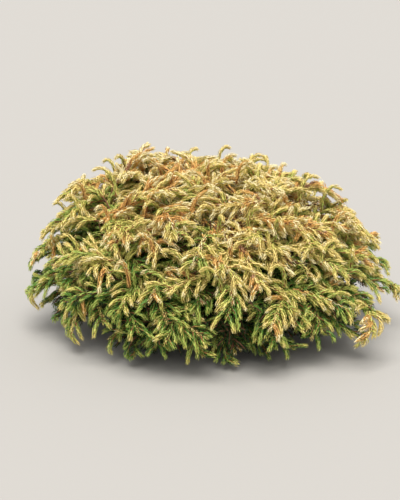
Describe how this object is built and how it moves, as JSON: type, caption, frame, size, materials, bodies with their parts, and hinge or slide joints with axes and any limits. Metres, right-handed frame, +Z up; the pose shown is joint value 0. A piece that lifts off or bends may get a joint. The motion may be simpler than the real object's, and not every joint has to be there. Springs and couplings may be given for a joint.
{
  "type": "golden tuffet arborvitae",
  "caption": "Low mounded golden evergreen shrub rooted in the ground, a short trunk inside with boughs and arching needle-clad shoots.",
  "frame": {"origin": "middle of the flat cut under the trunk, at ground level", "axes": "+Z up, +X to the right of the front view along the plant's longest side, -Y towards the front"},
  "size_m": [0.5404, 0.5124, 0.2659],
  "materials": {
    "trunk_bark": "matte stringy bark",
    "bough_bark": "matte red-brown bark",
    "foliage_skirt": "satin green-gold needles",
    "foliage_crown": "satin orange-gold needles"
  },
  "bodies": {
    "root": {"trunk": "trunk_bark", "bough_skirt_1": "bough_bark", "foliage_skirt_1": "foliage_skirt", "bough_skirt_2": "bough_bark", "foliage_skirt_2": "foliage_skirt", "bough_skirt_3": "bough_bark", "foliage_skirt_3": "foliage_skirt", "bough_skirt_4": "bough_bark", "foliage_skirt_4": "foliage_skirt", "bough_skirt_5": "bough_bark", "foliage_skirt_5": "foliage_skirt", "bough_skirt_6": "bough_bark", "foliage_skirt_6": "foliage_skirt", "bough_skirt_7": "bough_bark", "foliage_skirt_7": "foliage_skirt", "bough_skirt_8": "bough_bark", "foliage_skirt_8": "foliage_skirt", "bough_skirt_9": "bough_bark", "foliage_skirt_9": "foliage_skirt", "bough_skirt_10": "bough_bark", "foliage_skirt_10": "foliage_skirt", "bough_shoulder_1": "bough_bark", "foliage_shoulder_1": "foliage_crown", "bough_shoulder_2": "bough_bark", "foliage_shoulder_2": "foliage_crown", "bough_shoulder_3": "bough_bark", "foliage_shoulder_3": "foliage_crown", "bough_shoulder_4": "bough_bark", "foliage_shoulder_4": "foliage_crown", "bough_shoulder_5": "bough_bark", "foliage_shoulder_5": "foliage_crown", "bough_shoulder_6": "bough_bark", "foliage_shoulder_6": "foliage_crown", "bough_shoulder_7": "bough_bark", "foliage_shoulder_7": "foliage_crown", "bough_shoulder_8": "bough_bark", "foliage_shoulder_8": "foliage_crown", "bough_upper_1": "bough_bark", "foliage_upper_1": "foliage_crown", "bough_upper_2": "bough_bark", "foliage_upper_2": "foliage_crown", "bough_upper_3": "bough_bark", "foliage_upper_3": "foliage_crown", "bough_upper_4": "bough_bark", "foliage_upper_4": "foliage_crown", "bough_upper_5": "bough_bark", "foliage_upper_5": "foliage_crown", "foliage_top": "foliage_crown"}
  },
  "joints": []
}
